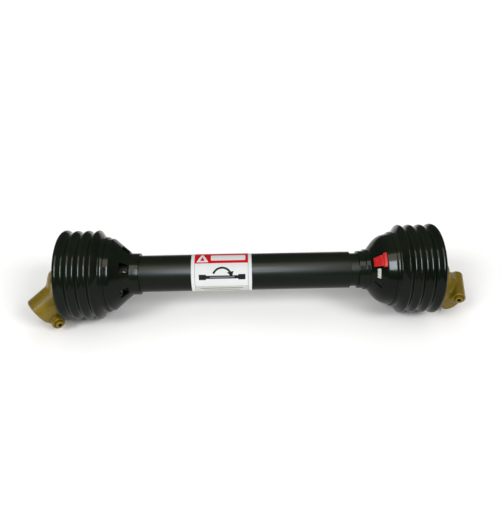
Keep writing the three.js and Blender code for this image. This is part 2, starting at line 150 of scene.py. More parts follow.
def pin_place(side):
    """Push pin's own frame inside a yoke: X runs along the pin, out of the button."""
    return (
        Matrix.Translation((PIN_AT[side] * MM, 0, 0))
        @ Matrix.Rotation(math.radians(PIN_PHASE[side]), 4, "X")
        @ Matrix.Translation((0, 0, -PIN_OFFSET * MM))
        @ ALONG_Y
    )


# ---- mesh making ----------------------------------------------------------------------------

def solid(name, points, faces, place=Matrix.Identity(4)):
    """Closed mesh from points in millimetres, put in its place in metres."""
    mesh = bpy.data.meshes.new(name)
    mesh.from_pydata([Vector(point) * MM for point in points], [], faces)
    work = bmesh.new()
    work.from_mesh(mesh)
    bmesh.ops.recalc_face_normals(work, faces=work.faces)
    work.to_mesh(mesh)
    work.free()
    mesh.transform(place)
    piece = bpy.data.objects.new(name, mesh)
    bpy.context.scene.collection.objects.link(piece)
    return piece


def rounded(points, steps=6):
    """Closed outline in which each corner given as (x, y, radius) becomes an arc."""
    outline = []
    for i, point in enumerate(points):
        here = Vector(point[:2])
        if len(point) == 2:
            outline.append(tuple(here))
            continue
        before = Vector(points[i - 1][:2]) - here
        after = Vector(points[(i + 1) % len(points)][:2]) - here
        half = before.angle(after) / 2
        reach = point[2] / math.tan(half)
        room = 0.48 * min(before.length, after.length)
        radius = point[2] * min(1, room / reach)
        reach = min(reach, room)
        before.normalize()
        after.normalize()
        middle = here + (before + after).normalized() * radius / math.sin(half)
        first, last = here + before * reach - middle, here + after * reach - middle
        for k in range(steps + 1):
            outline.append(tuple(middle + first.lerp(last, k / steps).normalized() * radius))
    return outline


def lathe(name, outline, place=Matrix.Identity(4), facets=FINE):
    """Outline of (along, radius) turned about X: a ring, or a solid if it ends on the axis."""
    points, rings = [], []
    for along, radius in outline:
        count = facets if radius > 0 else 1
        rings.append(range(len(points), len(points) + count))
        for i in range(count):
            angle = 2 * math.pi * i / facets
            points.append((along, radius * math.sin(angle), radius * math.cos(angle)))
    hollow = len(rings[0]) > 1
    faces = []
    for a, b in zip(rings, [*rings[1:], rings[0]] if hollow else rings[1:]):
        for i in range(facets):
            j = (i + 1) % facets
            corners = [a[i % len(a)], a[j % len(a)], b[j % len(b)], b[i % len(b)]]
            faces.append(tuple(dict.fromkeys(corners)))
    return solid(name, points, faces, place)


def sector(name, outline, low, high, place, steps=16):
    """Outline of (along, radius) swept about X between two angles from Z towards Y."""
    points, faces = [], []
    count = len(outline)
    for k in range(steps + 1):
        angle = math.radians(low + (high - low) * k / steps)
        for along, radius in outline:
            points.append((along, radius * math.sin(angle), radius * math.cos(angle)))
    for k in range(steps):
        for i in range(count):
            j = (i + 1) % count
            faces.append((k * count + i, k * count + j, (k + 1) * count + j, (k + 1) * count + i))
    faces.append(tuple(range(count)))
    faces.append(tuple(range(steps * count, (steps + 1) * count)))
    return solid(name, points, faces, place)


def prism(name, outline, low, high, place=Matrix.Identity(4)):
    """Outline in XY given a thickness from low to high along Z."""
    count = len(outline)
    points = [(x, y, low) for x, y in outline] + [(x, y, high) for x, y in outline]
    faces = [tuple(range(count)), tuple(range(count, 2 * count))]
    for i in range(count):
        j = (i + 1) % count
        faces.append((i, j, count + j, count + i))
    return solid(name, points, faces, place)


def bake(piece):
    """Applies every modifier."""
    graph = bpy.context.evaluated_depsgraph_get()
    mesh = bpy.data.meshes.new_from_object(piece.evaluated_get(graph))
    piece.modifiers.clear()
    piece.data = mesh
    return piece


def combine(piece, tool, operation):
    change = piece.modifiers.new("change", "BOOLEAN")
    change.operation = operation
    change.solver = "MANIFOLD"
    change.object = tool
    bake(piece)
    bpy.data.objects.remove(tool)
    return piece


def cut(piece, *tools):
    for tool in tools:
        combine(piece, tool, "DIFFERENCE")
    return piece


def join(piece, *tools):
    for tool in tools:
        combine(piece, tool, "UNION")
    return piece


def forged(piece, voxel=1.3, rounds=8):
    """Melts a built-up solid into one forging with soft corners."""
    skin = piece.modifiers.new("skin", "REMESH")
    skin.mode = "VOXEL"
    skin.voxel_size = voxel * MM
    soft = piece.modifiers.new("soft", "SMOOTH")
    soft.factor = 0.5
    soft.iterations = rounds
    return bake(piece)


def eased(piece, width=0.5, angle=35):
    """Breaks the sharp edges."""
    edge = piece.modifiers.new("edge", "BEVEL")
    edge.width = width * MM
    edge.segments = 2
    edge.limit_method = "ANGLE"
    edge.angle_limit = math.radians(angle)
    return bake(piece)


def dress(piece, body, node, slot, *looks, crease=38):
    """Gives a finished piece its materials, its body and the CAD node it stands for."""
    piece.data.materials.clear()
    for look in looks:
        piece.data.materials.append(look)
    piece.data.shade_smooth()
    piece.data.set_sharp_from_angle(angle=math.radians(crease))
    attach(piece, body)
    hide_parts(node)
    return piece


# ---- materials ------------------------------------------------------------------------------

class Look:
    """Procedural material: noises in the part's own frame drive colour, roughness and bump."""

    def __init__(self, name, **fixed):
        self.material = bpy.data.materials.new(name)
        self.material.use_nodes = True
        self.tree = self.material.node_tree
        self.shader = self.tree.nodes["Principled BSDF"]
        for socket, value in fixed.items():
            self.shader.inputs[socket.replace("_", " ")].default_value = value
        self.place = self.tree.nodes.new("ShaderNodeTexCoord").outputs["Object"]
        self.normal = None

    def noise(self, scale, detail=4, stretch=(1, 1, 1)):
        mapping = self.tree.nodes.new("ShaderNodeMapping")
        mapping.inputs["Scale"].default_value = [scale * share for share in stretch]
        texture = self.tree.nodes.new("ShaderNodeTexNoise")
        texture.inputs["Scale"].default_value = 1
        texture.inputs["Detail"].default_value = detail
        self.tree.links.new(self.place, mapping.inputs["Vector"])
        self.tree.links.new(mapping.outputs["Vector"], texture.inputs["Vector"])
        return texture.outputs["Fac"]

    def spread(self, source, low, high, start=0.3, end=0.7):
        """Stretches a noise between two values."""
        node = self.tree.nodes.new("ShaderNodeMapRange")
        node.inputs["From Min"].default_value = start
        node.inputs["From Max"].default_value = end
        node.inputs["To Min"].default_value = low
        node.inputs["To Max"].default_value = high
        self.tree.links.new(source, node.inputs["Value"])
        return node.outputs["Result"]

    def blend(self, share, first, second):
        node = self.tree.nodes.new("ShaderNodeMix")
        node.data_type = "RGBA"
        self.tree.links.new(share, node.inputs["Factor"])
        for socket, colour in ((node.inputs["A"], first), (node.inputs["B"], second)):
            if isinstance(colour, bpy.types.NodeSocket):
                self.tree.links.new(colour, socket)
            else:
                socket.default_value = (*colour, 1)
        return node.outputs["Result"]

    def colour(self, source):
        self.tree.links.new(source, self.shader.inputs["Base Color"])

    def roughness(self, source):
        self.tree.links.new(source, self.shader.inputs["Roughness"])

    def bump(self, source, height, strength=1.0):
        """Adds relief of a height in millimetres."""
        node = self.tree.nodes.new("ShaderNodeBump")
        node.inputs["Distance"].default_value = height * MM
        node.inputs["Strength"].default_value = strength
        self.tree.links.new(source, node.inputs["Height"])
        if self.normal is not None:
            self.tree.links.new(self.normal, node.inputs["Normal"])
        self.normal = node.outputs["Normal"]
        self.tree.links.new(self.normal, self.shader.inputs["Normal"])


def guard_look(name, grain, rough, shine):
    """Black polyethylene: faint grain, rubbed patches, and drawn streaks on the tubes."""
    look = Look(name, IOR=1.46, Specular_IOR_Level=shine)
    patches = look.noise(22, 5, grain)
    scuffs = look.noise(160, 8, grain)
    look.colour(look.blend(look.spread(patches, 0, 1), (0.0011, 0.0019, 0.0009), (0.0028, 0.0041, 0.0023)))
    look.roughness(look.spread(scuffs, *rough))
    look.bump(look.noise(1500, 3, grain), 0.012, 0.3)
    look.bump(look.noise(60, 2, grain), 0.12, 0.16)
    return look.material


def paint_look(name, casting):
    """Mustard enamel over a forging, or over a turned surface where casting is low."""
    look = Look(name, Specular_IOR_Level=0.3, Coat_Weight=0.15, Coat_Roughness=0.2)
    worn = look.blend(look.spread(look.noise(45, 6), 0, 1), (0.245, 0.168, 0.005), (0.18, 0.122, 0.004))
    grime = look.spread(look.noise(110, 8), 0, 0.55, 0.56, 0.72)
    look.colour(look.blend(grime, worn, (0.10, 0.06, 0.005)))
    look.roughness(look.spread(look.noise(230, 6), 0.28, 0.46))
    look.bump(look.noise(420, 5), 0.22, casting)
    look.bump(look.noise(95, 3), 0.5, casting)
    return look.material


def steel_look(name, colour, rough, grain=(1, 1, 1)):
    look = Look(name, Metallic=1.0)
    stain = look.spread(look.noise(70, 6), 0, 1, 0.42, 0.75)
    look.colour(look.blend(stain, colour, tuple(0.55 * share for share in colour)))
    look.roughness(look.spread(look.noise(400, 6, grain), *rough))
    look.bump(look.noise(1800, 3, grain), 0.02, 0.3)
    return look.material


def moulded_look(name, light, dark, rough, height=0.05):
    """Bright moulded plastic with a slight unevenness."""
    look = Look(name, IOR=1.5)
    look.colour(look.blend(look.spread(look.noise(60, 5), 0, 1), light, dark))
    look.roughness(look.spread(look.noise(300, 5), *rough))
    look.bump(look.noise(900, 3), height, 0.3)
    return look.material


def film_look(name, colour):
    """Printed film that has picked up a little dust."""
    look = Look(name, IOR=1.45, Specular_IOR_Level=0.2)
    dust = look.spread(look.noise(130, 8), 0, 0.15, 0.45, 0.75)
    look.colour(look.blend(dust, colour, tuple(0.8 * share + 0.03 for share in colour)))
    look.roughness(look.spread(look.noise(200, 5), 0.3, 0.5))
    look.bump(look.noise(500, 3), 0.02, 0.2)
    return look.material


MOULDED = guard_look("guard_moulded", (1, 1, 1), (0.12, 0.18), 0.13)
DRAWN = guard_look("guard_drawn", (0.04, 1, 1), (0.28, 0.4), 0.13)
PAINT = paint_look("yoke_enamel", 0.55)
PIN_PAINT = paint_look("pin_enamel", 0.15)
STEEL = steel_look("ground_steel", (0.46, 0.46, 0.47), (0.22, 0.42))
PROFILE_STEEL = steel_look("drawn_steel", (0.24, 0.24, 0.25), (0.3, 0.5), (0.05, 1, 1))
# near-black steel used as painted shade: in the push pins' dimples, and on the inner yokes' bare sleeves
# seen through the cup's windows
SHADE_STEEL = steel_look("steel_as_painted_shade", (0.05, 0.05, 0.048), (0.45, 0.6))
NYLON = moulded_look("natural_nylon", (0.72, 0.76, 0.70), (0.55, 0.58, 0.52), (0.35, 0.55))
KEY_RED = moulded_look("key_red", (0.76, 0.018, 0.018), (0.56, 0.010, 0.012), (0.25, 0.45))
FILM_WHITE = film_look("film_white", (0.84, 0.86, 0.87))
FILM_RED = film_look("film_red", (0.68, 0.004, 0.010))
FILM_DARK = film_look("film_dark", (0.012, 0.014, 0.016))
FILM_GREY = film_look("film_grey", (0.30, 0.31, 0.31))
FILM_BEIGE = film_look("film_beige", (0.70, 0.68, 0.62))


# ---- guards ---------------------------------------------------------------------------------

def bell_radius(s):
    """Outside radius of a bell's waves: equal crests and valleys, a little wider at the mouth."""
    pitch, mean, swing, crest = 20.0, 80.6, 2.5, -2.7
    flare = 1.2 * max(0, (crest - s) / pitch) ** 1.5
    return mean + flare + swing * math.cos(2 * math.pi * (s - crest) / pitch)


def make_bell(side):
    """Ribbed bell: rolled lip, waves, and a short neck that grips the cup."""
    first, last, step = -23.6, 38.4, 0.8
    count = round((last - first) / step)
    waves = [first + (last - first) * i / count for i in range(count + 1)]
    neck = [(47.4, 70.2, 2), (52.3, 70.9, 8), (56, 69.4, 0.8), (56, CUP_BARREL + 0.5)]
    outside = [(-27.4, 80.2), (-27.5, 82.0), (-26.4, 83.2), (-25, 83.9)]
    outside += [(s, bell_radius(s)) for s in waves]
    inside = [(47.4, CUP_BARREL + 0.5, 2), (41.9, 79.3 - BELL_WALL, 2)]
    inside += [(s, bell_radius(s) - BELL_WALL) for s in reversed(waves[:-3])]
    inside += [(-25.6, 80.4)]
    outline = rounded(outside + neck + inside)
    bell = lathe(f"bell_{side}_shell", outline, FACE[side], ROUND)
    return dress(bell, GUARD[side], f"bell_{side}", "guard_plastic", MOULDED, crease=50)


WINDOW_COUNT = 6
WINDOW_ANGLE = 14


def round_the_cone(name, outline):
    """One prism with this outline for each window of the left cup."""
    return [
        prism(name, rounded(outline), 30, 75, FACE["left"] @ Matrix.Rotation(
            -math.radians(WINDOW_ANGLE + 360 * i / WINDOW_COUNT), 4, "X"))
        for i in range(WINDOW_COUNT)
    ]


def make_cup_left():
    """Cup with six tapered windows, each in a thin raised frame."""
    place = FACE["left"]
    cup = lathe("base_cup_left_shell", rounded([
        (45, CUP_BARREL, 0.8), (56, CUP_BARREL), (65, 67.2, 8), (97, 38.9, 3), (113, 38.7, 1), (113, 34.6),
        (98, 34.6), (98, 31.6), (95, 31.6), (95, 36.2, 1), (62, 64.4, 4), (45, 64.4),
    ]), place, ROUND)
    raised = lathe("raised", [(78, 55.4), (97, 39.5), (97, 36.5), (78, 51)], place, ROUND)
    frames = round_the_cone("frame", [(79, -12, 3), (79, 12, 3), (96.2, 8.6, 3), (96.2, -8.6, 3)])
    combine(raised, join(*frames), "INTERSECT")
    join(cup, raised)
    cut(cup, *round_the_cone("window", [(81, -10, 2.5), (81, 10, 2.5), (94.5, 7, 2), (94.5, -7, 2)]))
    return dress(cup, "outer_guard", "base_cup_left", "guard_plastic", MOULDED, crease=30)


def make_cup_right():
    """Cup with a curved shoulder, a slot for the key and the ring's tab, and a pressed triangle."""
    place = FACE["right"]
    cup = lathe("base_cup_right_shell", rounded([
        (45, 67.6), (57.5, 67.4, 14), (72, 63.4, 18), (80, 58.2, 30), (86.5, 51.4, 40), (95.5, 39.6, 3),
        (96, 38, 1), (104, 38, 1), (104, 35.2, 0.6), (116, 35.2, 1), (116, 31.4), (98, 31.4),
        (98, 31), (95, 31), (95, 36), (84, 47.2, 12), (70, 59.6, 10), (56.5, 64.4, 8), (45, 64.6),
    ], 8), place, ROUND)
    up = UP["right"]
    slot = sector("slot", [(81.5, 32), (81.5, 72), (88, 72), (88, 32)], 24 * up, -21 * up, place)
    mark = rounded([(93, -22, 1.2), (77.5, -22, 1.2), (80, -36, 1.2)])
    recess = prism("recess", [(x, up * y) for x, y in mark], 0, 60, place)
    floor = lathe("floor", [(60, 0), (60, 65.4), (72, 61.2), (80, 55.4), (86.5, 48.6), (95, 37.6), (95, 0)],
                  place, ROUND)
    cut(cup, slot, cut(recess, floor))
    return dress(cup, "inner_guard", "base_cup_right", "guard_plastic", MOULDED, crease=30)


def make_guard_tube(side):
    """Plain tube as long as the CAD's."""
    node = {"left": "outer_guard_tube", "right": "inner_guard_tube"}[side]
    radius, wall = GUARD_TUBES[side]
    low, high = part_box(node)
    end = TUBE_FROM + (high.x - low.x) / MM
    tube = lathe(f"{node}_shell", rounded([
        (TUBE_FROM, radius - wall), (TUBE_FROM, radius), (end, radius, 0.5), (end, radius - wall, 0.5),
    ]), FACE[side], ROUND)
    return dress(tube, GUARD[side], node, "guard_plastic", DRAWN)


def make_bearing_rings():
    """Nylon rings that carry the guards on the inner yokes; the right one has a tab in the slot."""
    inner = GROOVE_RADIUS + 0.5
    start, end = GROOVE_FROM + RING_PLAY, GROOVE_TO - RING_PLAY
    left = lathe("bearing_ring_left_body", rounded([
        (start, inner), (start, 56, 0.6), (68.8, 56, 0.6), (68.8, 39, 1), (end, 36, 1), (end, inner),
    ]), FACE["left"], ROUND)
    dress(left, "outer_guard", "bearing_ring_left", "nylon", NYLON)
    right = lathe("bearing_ring_right_body", rounded([
        (start, inner), (start, 55, 0.6), (69.3, 55, 0.6), (69.3, 46, 1), (end, 44, 1), (end, inner),
    ]), FACE["right"], ROUND)
    up = UP["right"]
    tab = sector("tab", [
        (72, 33), (72, 38), (82.2, 38), (82.2, 54.8), (87.3, 49.4), (87.3, 33),
    ], 1 * up, -19 * up, FACE["right"])
    join(right, eased(tab, 0.6))
    dress(right, "inner_guard", "bearing_ring_right", "nylon", NYLON)


def make_lock_key():
    """Red key: a sloping body, a taller flange towards the bell, and a stem in the slot."""
    place, up = FACE["right"], UP["right"]
    body = sector("lock_key_body", [
        (91.6, 45.2), (86.5, 51.8), (78.6, 59.6), (78.8, 64.2), (83.2, 60.2), (89.2, 53.8), (93.6, 48.2),
    ], 24 * up, 5 * up, place)
    eased(body, 0.8)
    flange = sector("flange", [
        (79.2, 58.9), (73.4, 62.6), (73.1, 67.6), (74.4, 68), (78.6, 67.2), (79.4, 63.6),
    ], 26 * up, 3 * up, place)
    bump = lathe("bump", rounded([(-6, 0), (-6, 3, 1.2), (0.8, 3), (0.8, 0)]), place
                 @ Matrix.Rotation(math.radians(18), 4, "X")
                 @ Matrix.Translation((82 * MM, 0, 60 * MM)) @ ALONG_Y, 32)
    stem = sector("stem", [(81.9, 39), (81.9, 57.5), (87.6, 52), (87.6, 39)], 22 * up, 12 * up, place)
    join(body, eased(flange, 0.9), bump, stem)
    return dress(body, "lock_key", "lock_key", "key_plastic", KEY_RED)


# ---- label ----------------------------------------------------------------------------------

def printed(outline, low, high):
    """Flat outline of (along, up) in millimetres, wrapped round the tube as a thin solid."""
    patch = prism("print", outline, low, high)
    work = bmesh.new()
    work.from_mesh(patch.data)
    heights = [y for _, y in outline]
    pitch = 1.2
    for k in range(math.ceil(min(heights) / pitch), math.floor(max(heights) / pitch) + 1):
        geometry = work.verts[:] + work.edges[:] + work.faces[:]
        at = Vector((0, k * pitch * MM, 0))
        bmesh.ops.bisect_plane(work, geom=geometry, plane_co=at, plane_no=Vector((0, 1, 0)), dist=1e-7)
    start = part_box("safety_label")[0].x - CENTRE["left"].x
    base = LABEL_RADIUS * MM
    for vertex in work.verts:
        along, height, depth = vertex.co
        angle = height / base
        vertex.co = Vector((
            start + along, (base + depth) * math.sin(angle), (base + depth) * math.cos(angle),
        ))
    work.to_mesh(patch.data)
    work.free()
    patch.data.transform(FACE["left"])
    return patch


def arc(middle, radius, low, high, steps=24):
    """Points on a circle between two angles."""
    x, y = middle
    angles = [math.radians(low + (high - low) * k / steps) for k in range(steps + 1)]
    return [(x + radius * math.cos(a), y + radius * math.sin(a)) for a in angles]


def rectangle(left, low, right, high, corner=0.0):
    corners = [(left, low), (right, low), (right, high), (left, high)]
    return rounded([(x, y, corner) for x, y in corners]) if corner else corners


def make_label():
    """White film with a red header, an abstract turning shaft, and grey bars for wording."""
    low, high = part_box("safety_label")
    width = (high.x - low.x) / MM
    edge, header, footer = 49.4, 17.2, -29
    margin, line = 6.2, 0.7
    right = width - margin
    shaft_at = -9
    shaft = [(14, -14), (27, -14), (27, -12), (86, -12), (86, -14), (99, -14), (99, -4), (86, -4),
             (86, -6), (27, -6), (27, -4), (14, -4)]
    turn = arc((56.5, shaft_at), 19, 28, 158) + arc((56.5, shaft_at), 15.2, 158, 28)
    tip = Vector((56.5 + 17.1 * math.cos(math.radians(24)), shaft_at + 17.1 * math.sin(math.radians(24))))
    head = [(tip.x - 6.5, tip.y + 1.5), (tip.x + 5.5, tip.y + 4), (tip.x + 2.2, tip.y - 7.5)]
    prints = {
        FILM_WHITE: [
            ([(10, 19.6), (31.5, 19.6), (20.7, 42.5)], 0.46),
            (rectangle(36, 23, right - 5, 38, 2.5), 0.46),
        ],
        FILM_RED: [
            (rectangle(margin, header, right, edge), 0.42),
            ([(16.6, 22.6), (24.8, 22.6), (20.7, 32.4)], 0.49),
        ],
        FILM_DARK: [(shaft, 0.44), (turn, 0.44), (head, 0.44)],
        FILM_GREY: [
            (rectangle(margin, -edge, margin + line, header), 0.44),
            (rectangle(right - line, -edge, right, header), 0.44),
            (rectangle(margin + line, footer, right - line, footer + line), 0.44),
            (rectangle(16, -35.5, right - 10, -32.6, 1), 0.46),
            (rectangle(22, -42.5, right - 16, -39.6, 1), 0.46),
            (rectangle(34, -9.8, 79, -8.2), 0.47),
        ],
        FILM_BEIGE: [(rectangle(margin + line, -edge, right - line, footer), 0.42)],
    }
    looks = [FILM_WHITE, FILM_RED, FILM_DARK, FILM_GREY, FILM_BEIGE]
    label = printed(rectangle(0, -49.6, width, 49.6), 0, 0.38)
    label.name = "safety_label_film"
    for look in looks:
        label.data.materials.append(look)
    parts = [label]
    for look, shapes in prints.items():
        for outline, height in shapes:
            patch = printed(outline, 0.3, height)
            patch.data.materials.append(look)
            parts.append(patch)
    with bpy.context.temp_override(
        active_object=label, selected_editable_objects=parts, object=label,
    ):
        bpy.ops.object.join()
    label.data.shade_smooth()
    label.data.set_sharp_from_angle(angle=math.radians(30))
    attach(label, "outer_guard")
    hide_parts("safety_label")


# ---- yokes ----------------------------------------------------------------------------------

def fork(name):
    """Two ears along Y joined by a bridge that narrows to the hub, along +X."""
    flank = [
        (-EAR_RADIUS, EAR_INNER, 2), (-EAR_RADIUS, EAR_OUTER, 4), (44, EAR_OUTER, 8),
        (57, HUB_RADIUS - 1, 12), (68, HUB_RADIUS - 1),
    ]
    mirrored = [(x, -y, *rest) for x, y, *rest in reversed(flank)]
    throat = [(THROAT, -EAR_INNER, 9), (THROAT, EAR_INNER, 9)]
    body = prism(name, rounded(flank + mirrored + throat), -HUB_RADIUS, HUB_RADIUS)
    arch = arc((0, 0), EAR_RADIUS, 90, 270)
    side_view = [(68, -27.5), (68, 27.5), (28, 26, 30), (5, EAR_RADIUS)]
    side_view = rounded(side_view + arch + [(5, -EAR_RADIUS), (28, -26, 30)])
    return combine(body, prism("side", side_view, -45, 45, quarter("X")), "INTERSECT")


def ear_tools():
    """Bores, spot faces and circlip grooves across both ears."""
    tools = []
    for place in (quarter("Z"), quarter("Z", -1)):
        tools.append(lathe("bore", [(20, 0), (20, 13.7), (46, 13.7), (46, 0)], place))
        tools.append(lathe("groove", [(37.4, 12), (37.4, 14.8), (39.4, 14.8), (39.4, 12)], place))
        tools.append(lathe("spot", [(40.4, 0), (40.4, 17.5), (41.5, 18.4), (46, 18.4), (46, 0)], place))
    return tools


def spline_outline():
    """Bore of 34.9 mm with six straight-sided teeth, in YZ."""
    count, major, minor, tooth_half = 6, 17.45, 14.9, 4.2
    root = math.degrees(math.asin(tooth_half / major))
    tip = math.degrees(math.asin(tooth_half / minor))
    pitch = 360 / count
    points = []
    for i in range(count):
        tooth = i * pitch
        points += arc((0, 0), minor, tooth - tip, tooth + tip, 4)
        points += arc((0, 0), major, tooth + root, tooth + pitch - root, 8)
    return points


def make_outer_yoke(side):
    """Forged fork and hub, then its machined faces, splines, pin hole and ears."""
    end, rim = HUB_END[side], HUB_END[side] - RIM_CHAMFER
    pin = pin_place(side)
    body = fork(f"outer_yoke_{side}_forging")
    hub = lathe("hub", [(50, 0), (50, HUB_RADIUS), (end + 3, HUB_RADIUS), (end + 3, 0)])
    combine(body, lathe("envelope", [
        (-30, 0), (-30, 60), (10, 60), (14, 45), (40, 42), (48, 36.5), (55, 30.5), (60, HUB_RADIUS),
        (72, HUB_RADIUS), (72, 0),
    ]), "INTERSECT")
    reach = BOSS_HALF + 3
    boss = lathe("boss", [(-reach, 0), (-reach, BOSS_RADIUS), (reach, BOSS_RADIUS), (reach, 0)], pin)
    join(body, hub, boss)
    if side == "right":
        join(body, lathe("saddle", SADDLE, pin @ Matrix.Translation((0, 0, SADDLE_SHIFT * MM))))
        web = prism("web", WEB, -8, 16, pin)
        join(body, combine(web, lathe("cone", WEB_CONE), "INTERSECT"))
    forged(body)
    face = lathe("face", [
        (end, 0), (end, HUB_RADIUS - RIM_CHAMFER), (rim, HUB_RADIUS), (rim, 60), (end + 9, 60), (end + 9, 0),
    ], facets=96)
    bore = prism("bore", spline_outline(), THROAT - 8, end + 5, SWAP_TO_X)
    mouth = lathe("mouth", [(end - 1.6, 0), (end - 1.6, 17), (end + 1, 19.6), (end + 1, 0)])
    cut(body, face, bore, mouth)
    spot = [
        (BOSS_HALF, 0), (BOSS_HALF, 12.7 - BOSS_CHAMFER), (BOSS_HALF - BOSS_CHAMFER, 12.7),
        (BOSS_HALF + 8, 12.7), (BOSS_HALF + 8, 0),
    ]
    for turn in (0, 2):
        cut(body, lathe("spot", spot, pin @ quarter("Z", turn)))
    hole = [(-40, 0), (-40, 8.3), (30, 8.3), (30, 7.4), (32.6, 7.4), (34.2, 9.6), (40, 9.6), (40, 0)]
    cut(body, lathe("hole", hole, pin))
    cut(body, *ear_tools())
    body.data.transform(YOKE[side])
    return dress(body, f"outer_yoke_{side}", f"outer_yoke_{side}", "yoke_paint", PAINT, crease=32)


def make_pin(side):
    """Push pin with its waist and dimpled button, its cap and its spring."""
    place = YOKE[side] @ pin_place(side)
    body = f"outer_yoke_{side}"
    pin = lathe(f"push_pin_{side}_body", rounded([
        (-12, 0), (-12, 8, 0.8), (3.8, 8, 0.6), (5.8, 4.8, 1), (17.5, 4.8, 1), (19.5, 8, 0.6),
        (29.7, 8, 0.3), (29.7, 7, 0.2), (38.9, 7, 1.6), (38.9, 3.9, 0.5), (38.1, 3.2, 0.3),
        (26, 3, 0.4), (26, 0),
    ]), place)
    dress(pin, f"push_pin_{side}", f"push_pin_{side}", "pin_paint", PIN_PAINT, SHADE_STEEL)
    back = place.inverted()
    # faces inside the button's dimple take the near-black steel: painted shade in the hole
    for face in pin.data.polygons:
        along, *across = back @ face.center
        face.material_index = int(along > 25 * MM and math.hypot(*across) < 3.1 * MM)
    cap = lathe(f"pin_cap_{side}_body", rounded([
        (-32, 2.2, 0.3), (-32, 8, 0.5), (-29, 8, 0.3), (-29, 2.2),
    ]), place)
    dress(cap, body, f"pin_cap_{side}", "yoke_paint", PIN_PAINT)
    spring = coil(f"pin_spring_{side}_body", 5.6, 0.6, -28.1, -12.9, 4, place)
    dress(spring, body, f"pin_spring_{side}", "bearing_steel", STEEL)


def coil(name, radius, wire, start, end, turns, place):
    """Round wire wound about X."""
    sides, steps = 10, turns * 28
    points, faces = [], []
    for k in range(steps + 1):
        angle = 2 * math.pi * turns * k / steps
        outward = Vector((0, math.cos(angle), math.sin(angle)))
        middle = outward * radius + Vector((start + (end - start) * k / steps, 0, 0))
        for i in range(sides):
            turn = 2 * math.pi * i / sides
            points.append(middle + wire * (outward * math.cos(turn) + Vector((math.sin(turn), 0, 0))))
    for k in range(steps):
        for i in range(sides):
            a, b = k * sides + i, k * sides + (i + 1) % sides
            faces.append((a, b, b + sides, a + sides))
    faces.append(tuple(range(sides)))
    faces.append(tuple(range(steps * sides, (steps + 1) * sides)))
    return solid(name, points, faces, place)


def lobed(flat, corner, offset=0.0):
    """Three flats joined by round corners, in YZ, grown by an offset."""
    points = []
    for i in range(3):
        angle = 120 * i
        reach = 2 * (flat - corner)
        middle = (reach * math.cos(math.radians(angle)), reach * math.sin(math.radians(angle)))
        points += arc(middle, corner + offset, angle - 60, angle + 60, 14)
    return points


def roll_pin_hole():
    return lathe("hole", [(-40, 0), (-40, 5.25), (40, 5.25), (40, 0)],
                 Matrix.Translation((ROLL_PIN_AT * MM, 0, 0)) @ ALONG_Y)


def make_inner_end(side):
    """Inner yoke, profile tube and roll pin, which turn together."""
    flat, corner, wall = PROFILES[side]
    node = {"left": "outer_profile_tube", "right": "inner_profile_tube"}[side]
    yoke = join(fork(f"inner_yoke_{side}_forging"), lathe("neck", [
        (52, 0), (52, 29.5), (60, SLEEVE_RADIUS - 0.5), (66, SLEEVE_RADIUS - 0.5), (66, 0),
    ]))
    forged(yoke)
    join(yoke, lathe("sleeve", rounded([
        (58, 0), (58, SLEEVE_RADIUS - 2), (61, SLEEVE_RADIUS, 1), (GROOVE_FROM, SLEEVE_RADIUS, 0.4),
        (GROOVE_FROM, GROOVE_RADIUS, 0.4), (GROOVE_TO, GROOVE_RADIUS, 0.4), (GROOVE_TO, SLEEVE_RADIUS, 0.4),
        (SLEEVE_END, SLEEVE_RADIUS, 1.5), (SLEEVE_END, 0),
    ]), facets=96))
    cut(yoke, lathe("groove", [
        (GROOVE_FROM, GROOVE_RADIUS), (GROOVE_FROM, 45), (GROOVE_TO, 45), (GROOVE_TO, GROOVE_RADIUS),
    ], facets=96))
    cut(yoke, prism("socket", lobed(flat, corner, 0.3), 60, SLEEVE_END + 1, SWAP_TO_X))
    cut(yoke, roll_pin_hole(), *ear_tools())
    yoke.data.transform(INNER_YOKE[side])
    dress(yoke, DRIVE[side], f"inner_yoke_{side}", "yoke_paint", PAINT, SHADE_STEEL, crease=32)
    back = INNER_YOKE[side].inverted()
    # the sleeve's far end takes the near-black steel: bare steel, darkened as painted shade behind the cup's
    # windows
    for face in yoke.data.polygons:
        face.material_index = int((back @ face.center).x > BARE_SHADED_FROM * MM)

    low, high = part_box(node)
    end = PROFILE_FROM + (high.x - low.x) / MM
    tube = prism(f"{node}_body", lobed(flat, corner), PROFILE_FROM, end, SWAP_TO_X)
    cut(tube, prism("bore", lobed(flat, corner, -wall), PROFILE_FROM - 1, end + 1, SWAP_TO_X))
    cut(tube, roll_pin_hole())
    tube.data.transform(INNER_YOKE[side])
    dress(tube, DRIVE[side], node, "profile_steel", PROFILE_STEEL, crease=25)

    place = INNER_YOKE[side] @ Matrix.Translation((ROLL_PIN_AT * MM, 0, 0)) @ ALONG_Y
    pin = sector(f"roll_pin_{side}_body", rounded([
        (-29, 3.2), (-29, 5, 0.7), (29, 5, 0.7), (29, 3.2),
    ], 3), 12, 348, place, 40)
    dress(pin, DRIVE[side], f"roll_pin_{side}", "bearing_steel", STEEL)


# ---- cross joints ---------------------------------------------------------------------------

